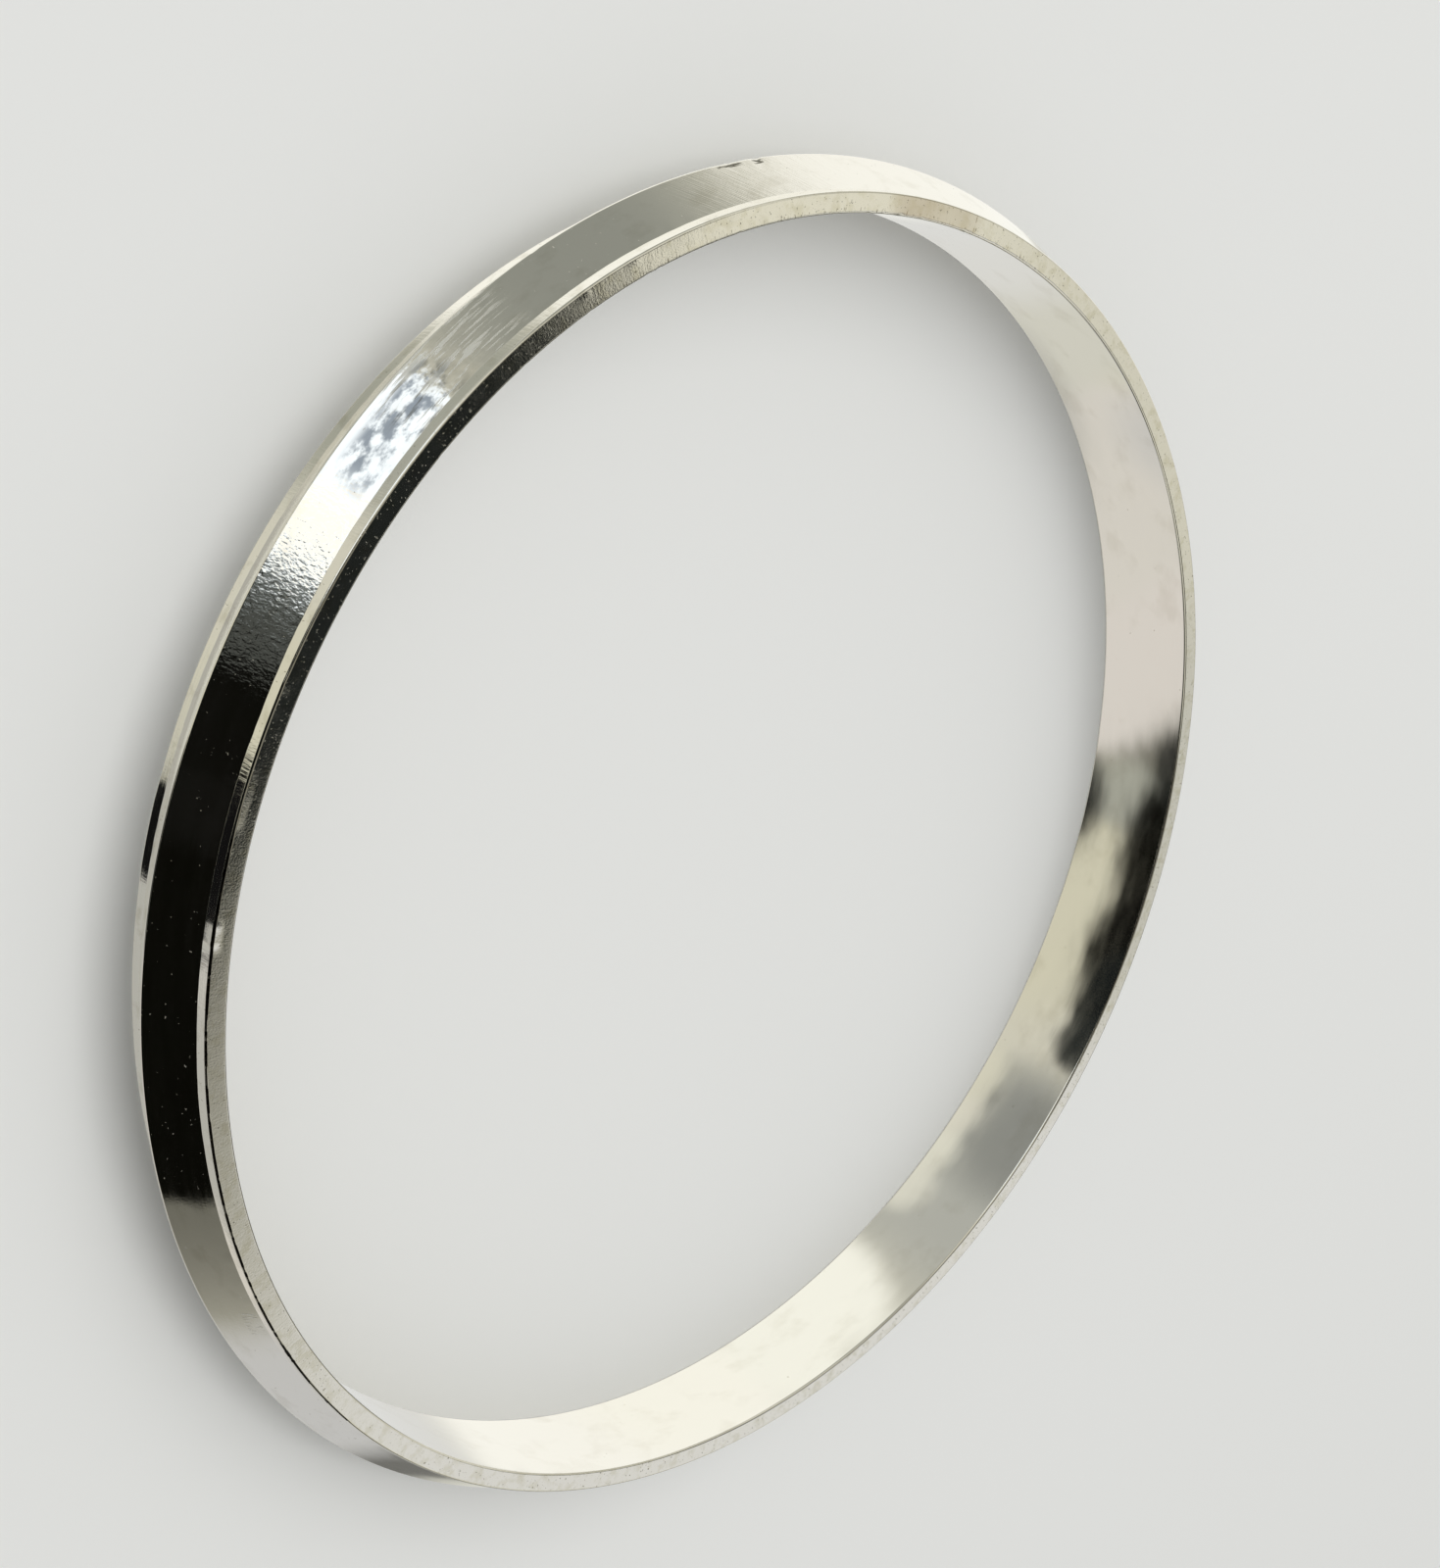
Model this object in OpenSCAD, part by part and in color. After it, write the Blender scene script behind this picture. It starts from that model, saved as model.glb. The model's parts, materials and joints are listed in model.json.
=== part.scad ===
// One-piece kada bangle, lying on its side.
// The bottom side face is at z = 0 and the axis of the ring is +Z.
// Everything is one turned ring: a round bore inside, and outside a flat rim along
// each edge with two slopes between them that meet in a ridge along the middle.

/* [Opening] */
// Inside diameter, the opening that the hand goes through
inner_d = 66.7; // [50:0.1:76]
// Radius that takes the sharpness off the two inner edges
bore_round = 0.12; // [0.04:0.01:0.25]

/* [Band] */
// Width of the band, measured along the arm
band_w = 6; // [3.5:0.1:14]
// Wall thickness at the two rims
rim_t = 1.05; // [0.7:0.05:2.5]
// Width of the flat upright rim along each edge
rim_w = 0.7; // [0.35:0.05:1.4]
// Radius that rounds each rim where it meets its side face
rim_round = 0.16; // [0.05:0.01:0.3]

/* [Ridge] */
// How far the ridge stands out past the rims
ridge_h = 1.3; // [0.3:0.05:3]
// Width of the narrow flat that runs along the crest of the ridge
crest_w = 0.1; // [0.04:0.02:0.5]

/* [Hidden] */

// Radii of the bore, of the two rims and of the crest
bore_r = inner_d / 2;
rim_r = bore_r + rim_t;
crest_r = rim_r + ridge_h;

// Steps of each rounded edge, and of the whole turn
round_steps = 4;
turn_steps = 180;

// Points of an arc around one corner's centre, both ends included
function corner(centre, radius, from, to) =
    [for (i = [0:round_steps])
        let (a = from + (to - from) * i / round_steps)
        [centre.x + radius * cos(a), centre.y + radius * sin(a)]];

// Cross-section, x from the axis outwards and y up, counter-clockwise from the lower inner edge
function ring_section() = concat(
    corner([bore_r + bore_round, bore_round], bore_round, 180, 270),
    corner([rim_r - rim_round, rim_round], rim_round, 270, 360),
    [[rim_r, rim_w]],
    [[crest_r, (band_w - crest_w) / 2], [crest_r, (band_w + crest_w) / 2]],
    [[rim_r, band_w - rim_w]],
    corner([rim_r - rim_round, band_w - rim_round], rim_round, 0, 90),
    corner([bore_r + bore_round, band_w - bore_round], bore_round, 90, 180));

module bangle_ring() {
    color([0.86, 0.86, 0.84])
        rotate_extrude($fn = turn_steps)
            polygon(ring_section());
}

bangle_ring();
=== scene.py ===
import json
import math

import bmesh
import bpy
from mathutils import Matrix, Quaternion, Vector, noise


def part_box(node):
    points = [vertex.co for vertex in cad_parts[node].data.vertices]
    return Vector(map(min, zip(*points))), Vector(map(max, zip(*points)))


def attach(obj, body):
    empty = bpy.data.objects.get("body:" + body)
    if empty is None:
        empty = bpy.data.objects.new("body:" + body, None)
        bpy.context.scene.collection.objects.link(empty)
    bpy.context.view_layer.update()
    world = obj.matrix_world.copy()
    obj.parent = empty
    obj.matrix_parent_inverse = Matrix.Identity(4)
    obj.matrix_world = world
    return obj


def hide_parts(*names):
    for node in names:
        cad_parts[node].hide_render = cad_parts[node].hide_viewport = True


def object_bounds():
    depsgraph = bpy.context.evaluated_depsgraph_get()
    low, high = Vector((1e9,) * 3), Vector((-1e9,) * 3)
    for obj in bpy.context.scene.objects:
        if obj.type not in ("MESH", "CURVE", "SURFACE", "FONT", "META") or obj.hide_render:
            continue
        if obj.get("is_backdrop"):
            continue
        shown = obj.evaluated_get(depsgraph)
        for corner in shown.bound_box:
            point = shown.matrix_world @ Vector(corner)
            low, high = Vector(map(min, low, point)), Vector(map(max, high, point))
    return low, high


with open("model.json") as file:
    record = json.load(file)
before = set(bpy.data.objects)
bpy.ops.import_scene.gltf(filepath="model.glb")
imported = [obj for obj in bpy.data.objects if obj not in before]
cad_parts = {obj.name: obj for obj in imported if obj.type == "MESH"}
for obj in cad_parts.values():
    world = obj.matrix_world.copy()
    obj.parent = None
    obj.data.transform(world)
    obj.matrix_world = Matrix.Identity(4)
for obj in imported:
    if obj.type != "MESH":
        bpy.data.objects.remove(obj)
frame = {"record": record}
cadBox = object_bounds()
print("frame loaded")

mm = 0.001

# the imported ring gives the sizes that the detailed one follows
ringLow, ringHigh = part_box("bangle_ring")
bandWidth = ringHigh[2] - ringLow[2]  # along the arm, which is up while the bangle lies
crestRadius = (ringHigh[0] - ringLow[0]) / 2
boreMount = [m for m in frame["record"]["mounts"] if m["kind"] == "bore"][0]
boreRadius = boreMount["dims"]["r_mm"] * mm

# settings that many nodes share
times = {"operation": "MULTIPLY"}
plus = {"operation": "ADD"}
dot = {"operation": "DOT_PRODUCT"}
smooth = {"interpolation_type": "SMOOTHSTEP"}
rgba = {"data_type": "RGBA"}


def linearColour(hexColour):
    # sRGB hex to the linear colour that the shaders take
    parts = [int(hexColour[i:i + 2], 16) / 255 for i in (0, 2, 4)]
    return [c / 12.92 if c <= 0.04045 else ((c + 0.055) / 1.055) ** 2.4 for c in parts] + [1.0]


def direction(azimuth, elevation=0):
    # unit vector towards an angle round the ring's axis and one above the floor, in degrees
    a = math.radians(azimuth)
    e = math.radians(elevation)
    return Vector((math.cos(e) * math.cos(a), math.cos(e) * math.sin(a), math.sin(e)))


def addNode(tree, kind, settings=None, inputs=None, links=None, output=None):
    # settings are the node's own, inputs are socket values, links are other nodes' sockets that feed it;
    # what comes back is the output named, or else the first one in use
    node = tree.nodes.new(kind)
    for name, value in (settings or {}).items():
        setattr(node, name, value)
    for name, value in (inputs or {}).items():
        node.inputs[name].default_value = value
    for name, source in (links or {}).items():
        tree.links.new(source, node.inputs[name])
    if output:
        return node.outputs[output]
    return next((socket for socket in node.outputs if socket.enabled), None)


def newMaterial(name):
    material = bpy.data.materials.new(name)
    material.use_nodes = True
    material.node_tree.nodes.clear()
    return material, material.node_tree


def addObject(name, data):
    thing = bpy.data.objects.new(name, data)
    bpy.context.scene.collection.objects.link(thing)
    return thing


# the turned ring

# a stretch is an angle round the ring, then its even and its fading reach, all in degrees;
# waves are shares of an unevenness, each with how quickly it changes, per mm along the ring
ring = {
    "rimWall": 1.05 * mm,           # thickness of the wall at the rims
    "rimWidth": 0.7 * mm,           # flat upright rim along each edge
    "crestFlat": 0.1 * mm,          # narrow flat along the ridge
    "steps": 1440,                  # faces around the ring
    # radius of each rounding, and faces across it
    "boreRound": 0.12 * mm,
    "boreSteps": 3,
    "rimRound": 0.12 * mm,
    "rimSteps": 6,
    "creaseRound": 0.015 * mm,
    "creaseSteps": 2,
    "crestRound": 0.03 * mm,
    "crestSteps": 2,
    # extra rings of faces, and the width above which a face gets them
    "slopeCuts": (5, 1.5 * mm),
    "boreCuts": (7, 3 * mm),
    "sideCuts": (3, 0.5 * mm),
    "cutMargin": 0.1 * mm,          # room at the radii that such faces lie between
    # how near counts as the same point, on a corner, on a rounding, by a crease or by the crest
    "merge": 0.0001 * mm,
    "onCorner": 0.001 * mm,
    "slack": 0.01 * mm,
    "byCrease": 0.12 * mm,
    "byCrest": 0.06 * mm,
    "boreFacing": 0.3,              # least share of a normal that points at the axis in the bore
    "sideFacing": 0.85,             # and up or down on a side face
    # hand work
    "boreCrown": 0.06 * mm,         # the bore is a little proud along its middle
    "creaseStray": 0.07 * mm,       # how far the creases stray along the arm
    "strayWaves": [(0.7, 0.25), (0.35, 1.6)],
    "rimLean": 0.04 * mm,           # how far the lower rim leans in towards its side face
    "upright": (-178.5, 2.5, 4.5),  # stretch where it doesn't lean
    "swell": 0.006 * mm,            # slow unevenness of the slopes
    "swellWave": 0.4,
    "chips": 0.12 * mm,             # small chips along the upper edge of the bore
    "chipWave": 2.1,
    "chipLevel": 0.25,              # the edge is whole where the noise is lower
    "chipped": (112, 24, 40),       # stretch where they are
    "crevice": 0.04 * mm,           # depth of the lap left open between rim and side face
    "creviceHalf": 0.45,            # half its greatest width, as a share of the rounding
    "gape": 0.65,                   # how wide it stands open as a rule, and at least
    "gapeLeast": 0.3,
    "gapeWaves": [(0.4, 0.9), (0.3, 2.7)],
    "open": (-154, 20, 28),         # stretch where it is open
    "ragged": (0.35, 5),            # least share of a burr's height, and its waves per mm
    "burrRise": 0.6,                # how far a burr stands up for each step out
    "sideShift": 5,                 # in mm, keeps the two sides from running alike
    # angle round the ring in degrees, length along it, height or depth
    "burrs": [
        (176, 3.0 * mm, 0.04 * mm),
        (-174.2, 1.6 * mm, 0.09 * mm),
        (167.5, 1.0 * mm, 0.05 * mm),
        (131.5, 0.8 * mm, 0.025 * mm),
        (126.5, 1.0 * mm, 0.025 * mm),
    ],
    "nicks": [
        (112, 2.2 * mm, 0.05 * mm),
        (109.2, 0.8 * mm, 0.07 * mm),
        (136.5, 0.6 * mm, 0.05 * mm),
        (131, 0.5 * mm, 0.05 * mm),
    ],
}
rimRadius = boreRadius + ring["rimWall"]


def ringCorners():
    # radius and height of the section's corners, counter-clockwise from the lower inner one
    middle = bandWidth / 2
    halfCrest = ring["crestFlat"] / 2
    return [
        (boreRadius, 0),
        (rimRadius, 0),
        (rimRadius, ring["rimWidth"]),
        (crestRadius, middle - halfCrest),
        (crestRadius, middle + halfCrest),
        (rimRadius, bandWidth - ring["rimWidth"]),
        (rimRadius, bandWidth),
        (boreRadius, bandWidth),
    ]


def edgesOnCircle(bm, corner):
    # edges that run around the ring at one corner of the section
    def onCorner(v):
        off = [math.hypot(v.co.x, v.co.y) - corner[0], v.co.z - corner[1]]
        return max(map(abs, off)) < ring["onCorner"]
    return [e for e in bm.edges if onCorner(e.verts[0]) and onCorner(e.verts[1])]


def roundCorners(bm, corners, radius, segments):
    edges = [e for corner in corners for e in edgesOnCircle(bm, corner)]
    bmesh.ops.bevel(bm, geom=edges, offset=radius, offset_type="OFFSET", affect="EDGES",
                    segments=segments, profile=0.5, material=-1, clamp_overlap=True)


def addRings(bm, cuts, innermost, outermost):
    # divides the wide faces between two radii into more rings
    count, width = cuts

    def crossing(e):
        radii = [math.hypot(v.co.x, v.co.y) for v in e.verts]
        across = math.hypot(radii[0] - radii[1], e.verts[0].co.z - e.verts[1].co.z)
        return across > width and min(radii) > innermost and max(radii) < outermost
    bmesh.ops.subdivide_edges(bm, edges=[e for e in bm.edges if crossing(e)], cuts=count, use_grid_fill=True)


def buildRing():
    corners = ringCorners()
    bm = bmesh.new()
    verts = [bm.verts.new((x, 0, z)) for x, z in corners]
    loop = [bm.edges.new((a, b)) for a, b in zip(verts, verts[1:] + verts[:1])]
    bmesh.ops.spin(bm, geom=verts + loop, cent=(0, 0, 0), axis=(0, 0, 1),
                   angle=math.tau, steps=ring["steps"], use_merge=True)
    bmesh.ops.remove_doubles(bm, verts=bm.verts, dist=ring["merge"])
    bmesh.ops.recalc_face_normals(bm, faces=bm.faces)

    roundCorners(bm, [corners[0], corners[7]], ring["boreRound"], ring["boreSteps"])
    roundCorners(bm, [corners[1], corners[6]], ring["rimRound"], ring["rimSteps"])
    roundCorners(bm, [corners[2], corners[5]], ring["creaseRound"], ring["creaseSteps"])
    roundCorners(bm, [corners[3], corners[4]], ring["crestRound"], ring["crestSteps"])

    margin = ring["cutMargin"]
    addRings(bm, ring["slopeCuts"], rimRadius - margin, crestRadius + margin)
    addRings(bm, ring["boreCuts"], boreRadius - margin, boreRadius + margin)
    addRings(bm, ring["sideCuts"], boreRadius + margin, rimRadius - margin)
    bmesh.ops.recalc_face_normals(bm, faces=bm.faces)
    return bm


def degreesFrom(place, angle):
    # the shorter way round the ring, from -180 to 180
    return (angle - place + 180) % 360 - 180


def marksAt(angle, marks):
    # height of the burrs or nicks at one angle, highest in the middle of each
    total = 0
    for place, length, height in marks:
        share = abs(math.radians(degreesFrom(place, angle))) * rimRadius / (length / 2)
        total += height * max(0, 1 - share * share)
    return total


def shareAt(angle, stretch):
    # 1 within the even reach of a stretch, 0 past its fading reach
    place, even, fading = stretch
    away = abs(degreesFrom(place, angle))
    return min(1, max(0, (fading - away) / (fading - even)))


def uneven(arc, waves, level=0):
    # noise round a level at a point, whose place is in mm
    for share, wave in waves:
        level += share * noise.noise(arc * wave)
    return level


def acrossRound(point):
    # place across the outer rounding of a side face: 0 at the side face, 1 at the rim, None elsewhere
    inward = rimRadius - math.hypot(point.x, point.y)
    fromSide = min(point.z, bandWidth - point.z)
    if max(inward, fromSide) > ring["rimRound"] + ring["slack"]:
        return None
    return math.atan2(ring["rimRound"] - inward, ring["rimRound"] - fromSide) * 2 / math.pi


def creviceAt(arc, angle):
    # how wide the lap stands open, from 0 to 1, with pinched and torn places
    gape = uneven(arc, ring["gapeWaves"], ring["gape"])
    return shareAt(angle, ring["open"]) ** 0.5 * min(1, max(ring["gapeLeast"], gape))


finishes = ["buffedSilver", "burnishedSilver", "groundSilver", "wornSilver", "tarnishedSilver"]


def finishOf(face):
    centre = face.calc_center_median()
    around = Vector((centre.x, centre.y, 0)).normalized()
    if around.dot(face.normal) < -ring["boreFacing"]:
        return "wornSilver"
    place = acrossRound(centre)
    if place is not None and centre.z > bandWidth / 2:
        angle = math.degrees(math.atan2(centre.y, centre.x))
        gape = creviceAt(around * rimRadius / mm, angle)
        if abs(place - 0.5) < ring["creviceHalf"] * gape:
            return "tarnishedSilver"
    if abs(face.normal.z) > ring["sideFacing"]:
        return "groundSilver"
    if min(centre.z, bandWidth - centre.z) > ring["rimWidth"]:
        return "buffedSilver"
    return "burnishedSilver"


def workSurface(bm):
    # nothing done by hand runs quite true; the noise is read on a circle, so that it closes
    slack = ring["slack"]
    least, wave = ring["ragged"]
    for v in bm.verts:
        radius = math.hypot(v.co.x, v.co.y)
        around = Vector((v.co.x, v.co.y, 0)) / radius
        angle = math.degrees(math.atan2(v.co.y, v.co.x))
        upper = v.co.z > bandWidth / 2
        fromSide = bandWidth - v.co.z if upper else v.co.z
        toSide = Vector((0, 0, 1 if upper else -1))
        circle = around * rimRadius / mm
        arc = circle + toSide * ring["sideShift"]
        ragged = least + (1 - least) * abs(noise.noise(arc * wave))
        place = acrossRound(v.co)

        if radius < boreRadius + slack:
            share = 2 * v.co.z / bandWidth - 1
            v.co -= around * ring["boreCrown"] * (1 - share * share)
        elif radius < boreRadius + ring["boreRound"] + slack:
            if upper:
                bite = max(0, noise.noise(arc * ring["chipWave"]) - ring["chipLevel"])
                v.co += around * (ring["chips"] * shareAt(angle, ring["chipped"]) * bite)
        elif place is not None and upper:
            depth = ring["crevice"] * creviceAt(circle, angle)
            lift = marksAt(angle, ring["burrs"]) * ragged
            v.co -= (around + toSide) * depth * math.sin(math.pi * min(1, max(0, place)))
            v.co += (around + toSide * ring["burrRise"]) * lift
        elif place is not None:
            v.co -= around * ring["rimLean"] * (1 - shareAt(angle, ring["upright"]))
        elif abs(fromSide - ring["rimWidth"]) < ring["byCrease"]:
            v.co += toSide * ring["creaseStray"] * uneven(arc, ring["strayWaves"])
        elif radius > crestRadius - ring["byCrest"]:
            v.co -= around * marksAt(angle, ring["nicks"]) * ragged
        elif fromSide > ring["rimWidth"]:
            v.co += around * ring["swell"] * noise.noise(arc * ring["swellWave"] + toSide * fromSide / mm)


def vertexNormals(bm):
    # led by the widest faces around each vertex, so that a flat face mirrors as a flat one up to its edges
    # (the Weighted Normal modifier leaves a piece with faces this small as it is)
    areaPower = 3
    bm.normal_update()
    normals = []
    for v in bm.verts:
        total = Vector()
        for face in v.link_faces:
            total += face.normal * (face.calc_area() / (mm * mm)) ** areaPower
        normals.append(total.normalized())
    return normals


ringMesh = bpy.data.meshes.new("bangleRing")
ringBm = buildRing()
for face in ringBm.faces:
    face.smooth = True
    face.material_index = finishes.index(finishOf(face))
workSurface(ringBm)
print("ring faces", len(ringBm.faces))
ringNormals = vertexNormals(ringBm)
ringBm.to_mesh(ringMesh)
ringBm.free()
ringMesh.normals_split_custom_set_from_vertices(ringNormals)
bangle = addObject("bangleRing", ringMesh)


# finishes of the silver

silver = "f6f3ec"
smearLevels = {"From Min": 0.35, "From Max": 0.7}  # noise levels of the least and of the most roughness


def silverMaterial(name, look):
    # sterling silver is nearly white and a little warm, and mirrors what is around it
    material, tree = newMaterial(name)
    place = addNode(tree, "ShaderNodeTexCoord", output="Object")

    # patterns run round the ring: x and y go along the rim's circle, z goes across the face
    flat = addNode(tree, "ShaderNodeVectorMath", times, {1: (1, 1, 0)}, {0: place})
    unit = addNode(tree, "ShaderNodeVectorMath", {"operation": "NORMALIZE"}, links={0: flat})
    arc = addNode(tree, "ShaderNodeVectorMath", {"operation": "SCALE"}, {"Scale": rimRadius}, {0: unit})
    if look["across"] == "radius":
        across = addNode(tree, "ShaderNodeVectorMath", {"operation": "LENGTH"}, links={0: flat})
    else:
        across = addNode(tree, "ShaderNodeSeparateXYZ", links={"Vector": place}, output="Z")

    def stretch(angle, even, fading):
        # 1 within the even reach of an angle round the ring, 0 past the fading one
        low, high = [math.cos(math.radians(a)) * rimRadius for a in (fading, even)]
        near = addNode(tree, "ShaderNodeVectorMath", dot, {1: direction(angle)}, {0: arc})
        return addNode(tree, "ShaderNodeMapRange", smooth, {"From Min": low, "From Max": high},
                       {"Value": near})

    def pattern(mark):
        # how strong one kind of mark is, from 0 to 1
        level = across
        if "slant" in mark:
            angle, rise = mark["slant"]
            tilt = addNode(tree, "ShaderNodeVectorMath", dot, {1: direction(angle + 90) * rise}, {0: arc})
            level = addNode(tree, "ShaderNodeMath", plus, links={0: across, 1: tilt})
        lift = addNode(tree, "ShaderNodeCombineXYZ", links={"Z": level})
        space = addNode(tree, "ShaderNodeVectorMath", plus, links={0: arc, 1: lift})
        grain = {"Scale": [1 / (s * mm) for s in mark["size"]], "Location": [mark.get("shift", 0)] * 3}
        space = addNode(tree, "ShaderNodeMapping", inputs=grain, links={"Vector": space})
        detail = {"Scale": 1.0, "Detail": mark.get("detail", 3.0), "Roughness": 0.55}
        height = addNode(tree, "ShaderNodeTexNoise", inputs=detail, links={"Vector": space})
        if "cut" in mark:
            low, high = mark["cut"]
            height = addNode(tree, "ShaderNodeMapRange", smooth, {"From Min": low, "From Max": high},
                             {"Value": height})
        masks = []
        if "at" in mark:
            masks.append(stretch(*mark["at"]))
        if "between" in mark:
            low, high, soft = [v * mm for v in mark["between"]]
            for outer, inner in ((low - soft, low), (high + soft, high)):
                masks.append(addNode(tree, "ShaderNodeMapRange", smooth,
                                     {"From Min": outer, "From Max": inner}, {"Value": across}))
        for mask in masks:
            height = addNode(tree, "ShaderNodeMath", times, links={0: height, 1: mask})
        return height

    normal = None
    for mark in look["relief"]:
        links = {"Height": pattern(mark)}
        if normal:
            links["Normal"] = normal
        relief = {"Strength": 1.0, "Distance": mark["depth"] * mm}
        normal = addNode(tree, "ShaderNodeBump", inputs=relief, links=links)

    layers = []
    for mark in look["stains"]:
        share = addNode(tree, "ShaderNodeMath", times, {1: mark["share"]}, {0: pattern(mark)})
        layers.append((share, mark["colour"]))
    if "join" in look:
        # hairline where the two ends of the strip were soldered, broken by its grain
        join = look["join"]
        away = addNode(tree, "ShaderNodeVectorMath", dot, {1: direction(join["angle"] + 90)}, {0: arc})
        away = addNode(tree, "ShaderNodeMath", {"operation": "ABSOLUTE"}, links={0: away})
        line = addNode(tree, "ShaderNodeMapRange", smooth, {"From Min": join["width"], "From Max": 0},
                       {"Value": away})
        for mask in (stretch(join["angle"], *join["reach"]), pattern(join["broken"])):
            line = addNode(tree, "ShaderNodeMath", times, links={0: line, 1: mask})
        layers.append((line, join["colour"]))
    colour = addNode(tree, "ShaderNodeRGB")
    colour.default_value = linearColour(look.get("base", silver))
    for share, tint in layers:
        colour = addNode(tree, "ShaderNodeMix", rgba, {"B": linearColour(tint)},
                         {"Factor": share, "A": colour})

    shiny, dull = look["gloss"]
    smear = {**smearLevels, "To Min": shiny, "To Max": dull}
    roughness = addNode(tree, "ShaderNodeMapRange", inputs=smear, links={"Value": pattern(look["smear"])})
    for mark in look.get("scuffs", []):
        scuff = addNode(tree, "ShaderNodeMath", times, {1: mark["rough"]}, {0: pattern(mark)})
        roughness = addNode(tree, "ShaderNodeMath", plus, links={0: roughness, 1: scuff})
    shader = addNode(tree, "ShaderNodeBsdfPrincipled", inputs={"Metallic": 1.0},
                     links={"Base Color": colour, "Roughness": roughness, "Normal": normal})
    addNode(tree, "ShaderNodeOutputMaterial", links={"Surface": shader})
    return material


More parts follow.
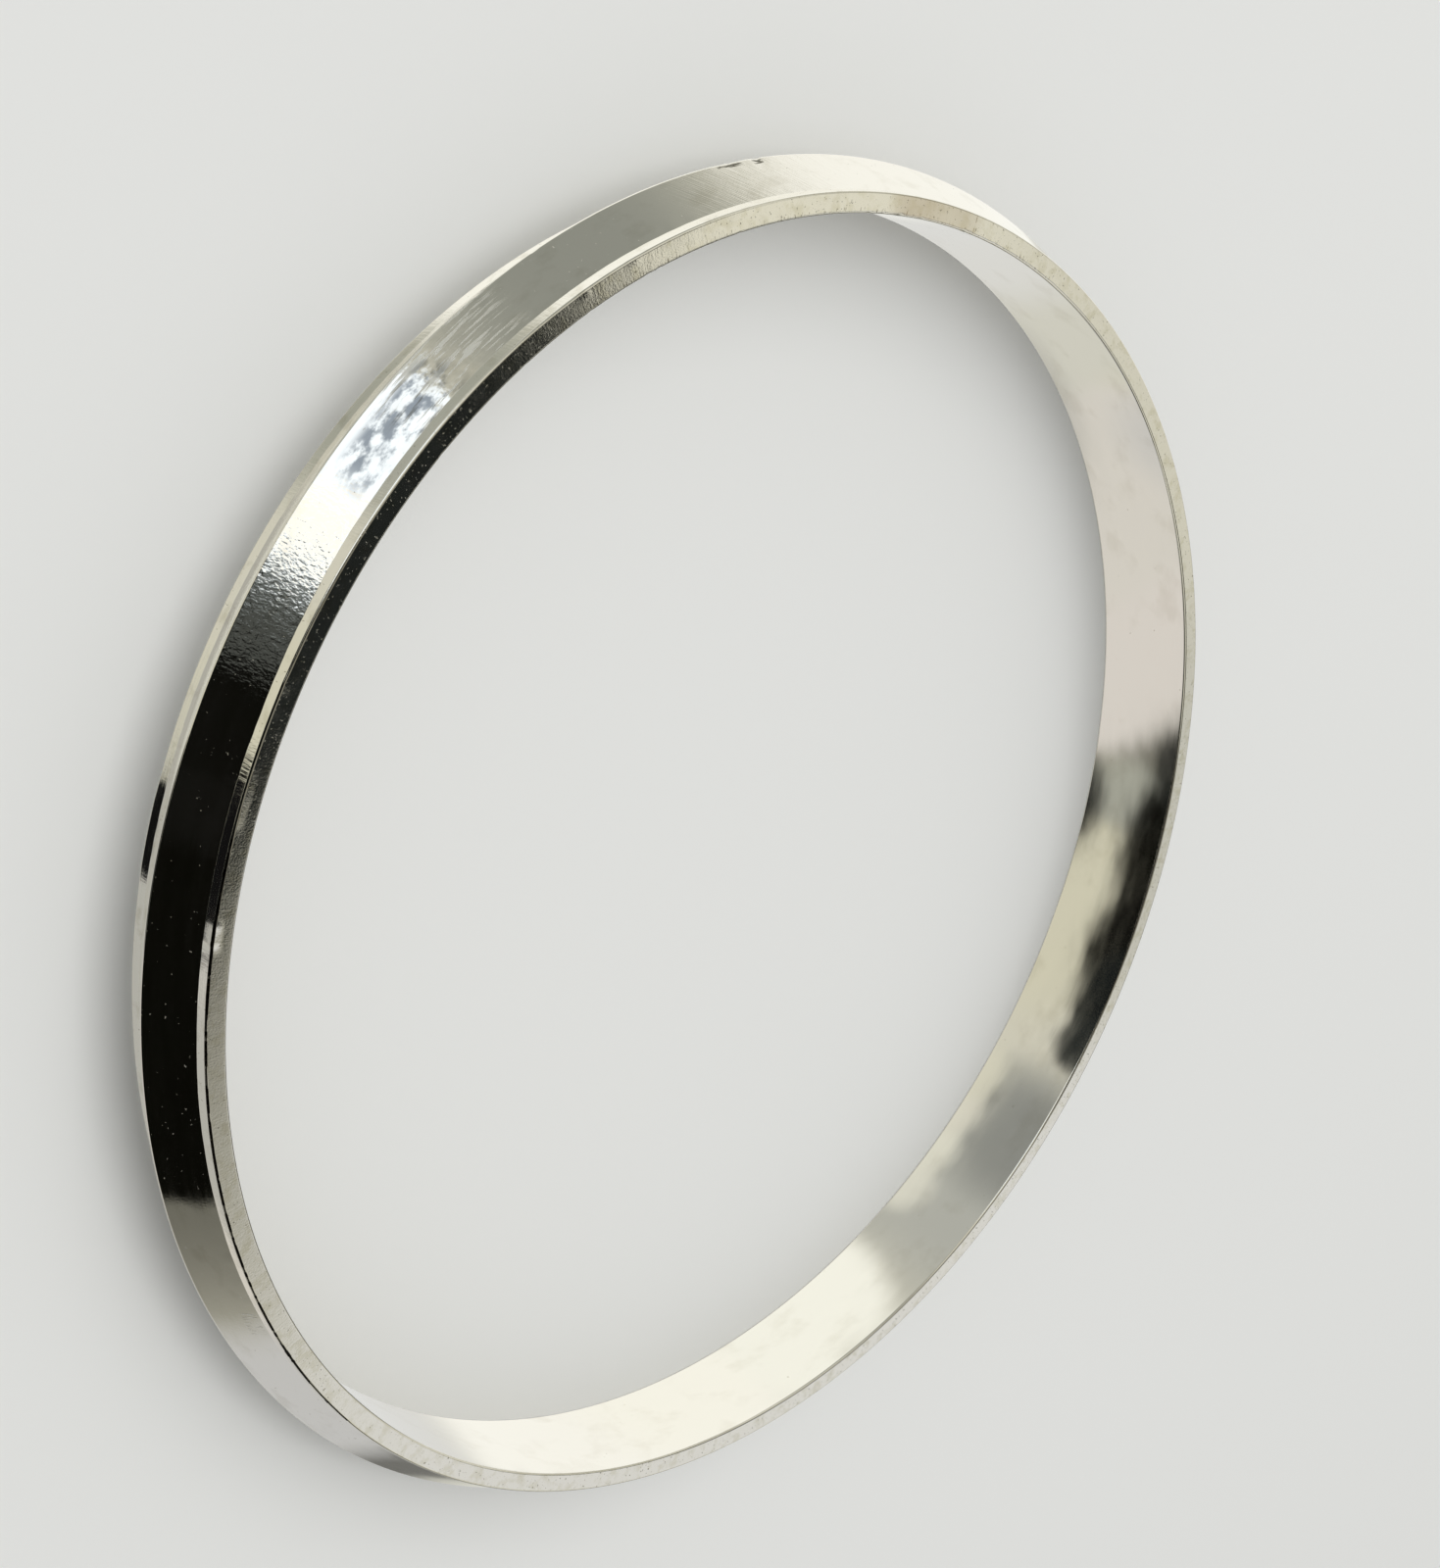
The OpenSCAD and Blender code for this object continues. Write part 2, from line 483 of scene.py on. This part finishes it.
# size is that of one grain in mm: twice along the ring, then across the face; depth is in mm too
# cut: noise levels where a mark starts and is full; at: a stretch round the ring
# between: a strip across the face in mm, and its soft edge; slant: an angle, and the rise per mm along there
# shift: takes the marks from another part of the noise; gloss: least and most roughness
looks = {
    # slopes, buffed on a wheel: a mirror with a little orange peel, rougher and streaked along one stretch
    "buffedSilver": {
        "across": "height",
        "relief": [
            {"size": (0.14, 0.14, 0.14), "depth": 0.0008},
            # turning lines, coarser than the real ones so that they show
            {"size": (3, 3, 0.1), "depth": 0.0012},
            # orange peel, fine and then coarse
            {"size": (0.2, 0.2, 0.26), "depth": 0.012, "at": (161, 4, 11), "detail": 2.0},
            {"size": (1.6, 1.6, 0.8), "depth": 0.02, "at": (147, 5, 12), "shift": 3},
            # buffing streaks, the last two of them aslant and crossing
            {"size": (1.8, 1.8, 0.07), "depth": 0.004, "at": (137, 7, 16)},
            {"size": (1.2, 1.2, 0.1), "depth": 0.008, "at": (109, 6, 12), "slant": (109, 1.3)},
            {"size": (1.5, 1.5, 0.12), "depth": 0.006, "at": (107, 5, 11), "slant": (107, -0.7), "shift": 5},
            # ticks
            {"size": (0.1, 0.1, 0.9), "depth": 0.004, "at": (-139.5, 0.7, 1.6), "cut": (0.55, 0.6),
             "between": (4.5, 5.1, 0.1)},
            # pits
            {"size": (0.16, 0.16, 0.16), "depth": -0.014, "cut": (0.72, 0.76), "shift": 9},
        ],
        "stains": [
            {"size": (2, 2, 1), "colour": "cfcabb", "share": 0.3, "cut": (0.5, 0.75)},
            # dirt in the pits
            {"size": (0.16, 0.16, 0.16), "colour": "8a8574", "share": 0.5, "cut": (0.72, 0.76), "shift": 9},
            # water marks in the bright stretch, and painted shade in the nicks of the crest: dark olive
            # painted in for their depth and the dark that they mirror
            {"size": (1.2, 1.2, 0.6), "colour": "5e666f", "share": 0.8, "cut": (0.43, 0.58), "shift": 6,
             "at": (148, 3.5, 6.5), "between": (3.7, 5.1, 0.5), "detail": 9.0},
            {"size": (0.7, 0.7, 0.1), "colour": "4a4636", "share": 0.9, "cut": (0.4, 0.5), "shift": 1,
             "at": (112.1, 0.9, 1.4), "between": (3.14, 3.26, 0.05)},
            {"size": (0.3, 0.3, 0.1), "colour": "4a4636", "share": 0.9, "cut": (0.4, 0.5), "shift": 2,
             "at": (109.3, 0.3, 0.6), "between": (3.12, 3.34, 0.05)},
        ],
        # streaks rough enough to catch the bright side from further round
        "scuffs": [
            {"size": (2.6, 2.6, 0.13), "rough": 0.45, "cut": (0.5, 0.6), "at": (142, 3, 8), "shift": 7},
            {"size": (1.6, 1.6, 0.1), "rough": 0.1, "cut": (0.5, 0.65), "at": (112, 5, 11),
             "slant": (112, 1.1)},
        ],
        "gloss": (0.03, 0.085),
        "smear": {"size": (3, 3, 0.3), "detail": 5.0},
    },
    # rims, smoothed with a burnisher: bright, with short file strokes left across them
    "burnishedSilver": {
        "across": "height",
        "relief": [
            {"size": (0.12, 0.12, 0.9), "depth": 0.004},
            {"size": (1.5, 1.5, 0.1), "depth": 0.002},
        ],
        "stains": [
            {"size": (1, 1, 1), "colour": "c9c3b0", "share": 0.4, "cut": (0.5, 0.75)},
            {"size": (0.15, 0.15, 0.3), "colour": "77705c", "share": 0.6, "cut": (0.68, 0.74)},
        ],
        "gloss": (0.05, 0.13),
        "smear": {"size": (1, 1, 1), "detail": 5.0},
    },
    # side faces, ground flat: bright but grainy, with pits and faint marks across them
    "groundSilver": {
        "across": "radius",
        "relief": [
            {"size": (0.1, 0.1, 0.1), "depth": 0.0018},
            {"size": (0.1, 0.1, 0.9), "depth": 0.0003, "cut": (0.45, 0.7)},
            {"size": (0.8, 0.8, 0.8), "depth": 0.0012},
            {"size": (0.13, 0.13, 0.13), "depth": -0.012, "cut": (0.67, 0.72), "shift": 4},
        ],
        "stains": [
            {"size": (0.7, 0.7, 0.7), "colour": "dcd7c2", "share": 0.5, "cut": (0.45, 0.7)},
            {"size": (0.13, 0.13, 0.13), "colour": "6e6753", "share": 0.7, "cut": (0.67, 0.72), "shift": 4},
            # dirt in the chips along the edge of the bore
            {"size": (0.1, 0.1, 0.3), "colour": "6a5f48", "share": 0.7, "cut": (0.6, 0.66), "shift": 6,
             "at": (108, 26, 40), "between": (33.3, 33.55, 0.15)},
            {"size": (9, 9, 9), "colour": "c4b49e", "share": 0.9, "at": (93, 3.5, 6.5)},
        ],
        "join": {"angle": 88, "reach": (3, 5), "width": 0.05 * mm, "colour": "a39680",
                 "broken": {"size": (0.15, 0.15, 0.15), "cut": (0.45, 0.55)}},
        "gloss": (0.05, 0.11),
        "smear": {"size": (0.8, 0.8, 0.8), "detail": 5.0},
    },
    # bore, smooth from the mandrel and from wear: soft, quiet reflections
    "wornSilver": {
        "across": "height",
        "relief": [
            {"size": (3, 3, 1.5), "depth": 0.005, "detail": 1.0},
            {"size": (3, 3, 0.12), "depth": 0.0002},
        ],
        "stains": [
            {"size": (3, 3, 2), "colour": "d6d0c2", "share": 0.3, "cut": (0.5, 0.75)},
            {"size": (0.3, 0.3, 0.3), "colour": "a39a7c", "share": 0.5, "cut": (0.72, 0.78), "shift": 2},
        ],
        "join": {"angle": 88, "reach": (3, 5), "width": 0.05 * mm, "colour": "8c8272",
                 "broken": {"size": (0.3, 0.3, 0.3), "cut": (0.42, 0.55)}},
        "gloss": (0.07, 0.11),
        "smear": {"size": (3, 3, 1), "detail": 2.0},
    },
    # crevice, blackened by sulphide where no cloth reaches: dull and crusted
    "tarnishedSilver": {
        "base": "15130f",
        "across": "height",
        "relief": [
            {"size": (0.08, 0.08, 0.08), "depth": 0.006},
        ],
        "stains": [
            {"size": (0.2, 0.2, 0.2), "colour": "4b4538", "share": 0.8, "cut": (0.52, 0.7)},
        ],
        "gloss": (0.3, 0.5),
        "smear": {"size": (0.3, 0.3, 0.3), "detail": 3.0},
    },
}
for name in finishes:
    bangle.data.materials.append(silverMaterial(name, looks[name]))
print("silver finishes made")

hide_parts("bangle_ring")
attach(bangle, "root")


# floor, light and camera

floorLook = {
    "half": 1500 * mm,
    "drop": 0.01 * mm,              # keeps it clear of the ring's lower side face
    "colour": "f1f1ee",
    "roughness": 0.75,
}
floorMesh = bpy.data.meshes.new("paleFloor")
floorBm = bmesh.new()
bmesh.ops.create_grid(floorBm, x_segments=1, y_segments=1, size=floorLook["half"])
bmesh.ops.translate(floorBm, verts=floorBm.verts, vec=(0, 0, -floorLook["drop"]))
floorBm.to_mesh(floorMesh)
floorBm.free()
paleFloor = addObject("paleFloor", floorMesh)

# smooth white card: matt and nearly white, so that the shadows on it stay soft and pale
card, cardTree = newMaterial("smoothWhiteCard")
cardLook = {"Base Color": linearColour(floorLook["colour"]), "Roughness": floorLook["roughness"]}
cardShader = addNode(cardTree, "ShaderNodeBsdfPrincipled", inputs=cardLook)
addNode(cardTree, "ShaderNodeOutputMaterial", links={"Surface": cardShader})
floorMesh.materials.append(card)
paleFloor.visible_glossy = False  # the polished metal mirrors the studio, not the floor that it lies on
paleFloor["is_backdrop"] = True

# the studio around the bangle, which the polished metal mirrors; its colours are linear, as light is
studio = {
    "walls": (0.66, 0.65, 0.56),
    "seen": (0.78, 0.78, 0.76),        # past the floor's edge
    "ambient": (0.57, 0.576, 0.576),   # what falls on the floor
    # azimuth and elevation, reach of the even middle and of the soft edge, all in degrees, then the colour;
    # each one lies on top of those before it
    "patches": [
        (-135, 0, 15, 62, (0.15, 0.148, 0.125)),      # grey corner
        (-51, -14, 14, 21, (0.17, 0.17, 0.16)),
        (35, -30, 24, 42, (1.0, 1.0, 0.95)),          # bright low side
        (98, -2, 2, 34, (0.28, 0.29, 0.26)),          # grey side
        (58, -50, 16, 24, (1.0, 1.0, 0.93)),
        (115, -52, 6, 18, (0.36, 0.37, 0.32)),
        (126, -31, 6, 25, (0.45, 0.46, 0.43)),
        (139, -29, 3, 15, (0.27, 0.28, 0.265)),
        (80, -36, 6, 11, (0.98, 0.99, 0.92)),
        (94, -37, 6, 11, (0.98, 0.99, 0.92)),
        (121, -41, 4.5, 7.5, (0.74, 0.74, 0.66)),
        (130, -41, 4.5, 7.5, (0.76, 0.76, 0.67)),
        (139, -41, 4.5, 7.5, (0.74, 0.73, 0.64)),
        (147, -40.5, 4, 7, (0.70, 0.69, 0.58)),
        (-122, -45, 18, 23, (0.72, 0.69, 0.66)),      # cream low side
        (-90, -47, 19, 24, (0.70, 0.68, 0.64)),
        (-52, -44, 11, 16, (0.66, 0.66, 0.60)),
        (-75, -74, 33, 37, (0.46, 0.46, 0.43)),
        (-78, -18, 9, 20, (0.56, 0.565, 0.57)),
        (-14, -66, 14, 20, (0.66, 0.65, 0.56)),
        (-22, -41, 8, 20, (0.73, 0.735, 0.72)),
        (9, -30, 2, 7, (0.50, 0.50, 0.45)),
        (185, -43, 14, 24, (0.66, 0.645, 0.52)),
        (206, -33, 3.5, 7, (0.40, 0.41, 0.36)),
        (-27, 34, 9, 14, (0.71, 0.715, 0.70)),        # cream top
        (-9, 31, 2, 7, (0.56, 0.56, 0.51)),
        (33, 28, 9, 18, (0.42, 0.41, 0.34)),
        (-13, -8, 18, 26, (0.07, 0.07, 0.055)),       # dark bands that only the rounded edges mirror
        (-15, 22, 3.5, 8, (0.10, 0.10, 0.08)),
        (-75, 16, 8, 20, (0.07, 0.07, 0.055)),
        (60, 18, 2, 8, (0.20, 0.19, 0.14)),
        (100, 32, 3, 10, (0.20, 0.19, 0.14)),
        (141, 5, 15, 17.5, (1.1, 1.2, 1.3)),          # bright opening
        (149, 7, 1, 7, (1.2, 1.17, 1.08)),
        (222, -1, 22, 24, (0.003, 0.003, 0.002)),     # dark side
        (197, 2, 33, 35.5, (0.003, 0.003, 0.002)),
        (178, -10, 21.5, 23.5, (0.006, 0.006, 0.005)),
        (168, -18, 12.5, 14, (0.010, 0.012, 0.012)),
        (159, -26, 4, 6, (0.014, 0.017, 0.017)),
        (213, -19, 10.5, 12.5, (0.010, 0.011, 0.010)),
        (171, 6, 13, 14.5, (0.004, 0.004, 0.003)),
        (159, 7, 0, 5, (0.17, 0.19, 0.19)),           # paler end of it
        (165, 7, 0, 6, (0.07, 0.075, 0.07)),
        (185, 48, 28, 32, (0.006, 0.006, 0.005)),     # black stretches of the rims
        (-157, -48, 11, 13, (0.006, 0.006, 0.006)),
        (3, 45, 3, 8, (0.76, 0.745, 0.635)),          # ceiling: cream, grey, then black
        (-29, 60, 0, 19.5, (0.16, 0.158, 0.135)),
        (4, 76, 26.9, 29.1, (0.013, 0.015, 0.014)),
        (-10, 45.5, 5.5, 8.5, (0.013, 0.015, 0.014)),
        (42, 59, 7, 11, (0.45, 0.44, 0.38)),
        (-5, 88, 22, 30, (0.22, 0.21, 0.17)),
    ],
}
world = bpy.data.worlds.new("studio")
bpy.context.scene.world = world
world.use_nodes = True
worldTree = world.node_tree
worldTree.nodes.clear()
looking = addNode(worldTree, "ShaderNodeTexCoord", output="Generated")
colour = addNode(worldTree, "ShaderNodeRGB")
colour.default_value = (*studio["walls"], 1)
for azimuth, elevation, even, fading, tone in studio["patches"]:
    near = addNode(worldTree, "ShaderNodeVectorMath", dot, {1: direction(azimuth, elevation)}, {0: looking})
    reach = {"From Min": math.cos(math.radians(fading)), "From Max": math.cos(math.radians(even))}
    share = addNode(worldTree, "ShaderNodeMapRange", smooth, reach, {"Value": near})
    colour = addNode(worldTree, "ShaderNodeMix", rgba, {"B": (*tone, 1)}, {"Factor": share, "A": colour})
light = addNode(worldTree, "ShaderNodeBackground", inputs={"Color": (*studio["ambient"], 1)})
mirrored = addNode(worldTree, "ShaderNodeBackground", links={"Color": colour})
past = addNode(worldTree, "ShaderNodeBackground", inputs={"Color": (*studio["seen"], 1)})
for rays, other in (("Is Glossy Ray", mirrored), ("Is Camera Ray", past)):
    share = addNode(worldTree, "ShaderNodeLightPath", output=rays)
    light = addNode(worldTree, "ShaderNodeMixShader", links={0: share, 1: light, 2: other})
addNode(worldTree, "ShaderNodeOutputWorld", links={"Surface": light})

overhead = {"azimuth": 100, "elevation": 62, "distance": 900 * mm, "size": 900 * mm, "power": 3.4}
lampData = bpy.data.lights.new("overhead", "AREA")
lampData.size = overhead["size"]
lampData.energy = overhead["power"]
lamp = addObject("overhead", lampData)
towards = direction(overhead["azimuth"], overhead["elevation"])
lamp.location = towards * overhead["distance"]
lamp.rotation_mode = "QUATERNION"
lamp.rotation_quaternion = towards.to_track_quat("Z", "Y")
lamp.visible_glossy = False  # the patches are what the metal mirrors

# the photograph's viewing angle, fitted to the edges of the band
view = {
    "aim": (-3.26 * mm, 3.8 * mm, 3 * mm),
    "azimuth": 166.95,
    "elevation": 41.69,
    "distance": 125.05 * mm,
    "turn": 113.38,                 # about its own axis
    "lens": 56.5,
    "sensor": 36,
    "clipStart": 5 * mm,
}
cameraData = bpy.data.cameras.new("camera")
cameraData.lens = view["lens"]
cameraData.sensor_width = view["sensor"]
cameraData.clip_start = view["clipStart"]
camera = addObject("camera", cameraData)
back = direction(view["azimuth"], view["elevation"])
camera.location = Vector(view["aim"]) + back * view["distance"]
camera.rotation_mode = "QUATERNION"
turned = Quaternion((0, 0, 1), math.radians(view["turn"]))
camera.rotation_quaternion = back.to_track_quat("Z", "Y") @ turned
bpy.context.scene.camera = camera
bpy.context.scene.view_settings.view_transform = "Standard"
print("floor, light and camera placed")

boxes = {"cad": cadBox, "visual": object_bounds()}
boxes = {name: [list(map(float, corner)) for corner in box] for name, box in boxes.items()}
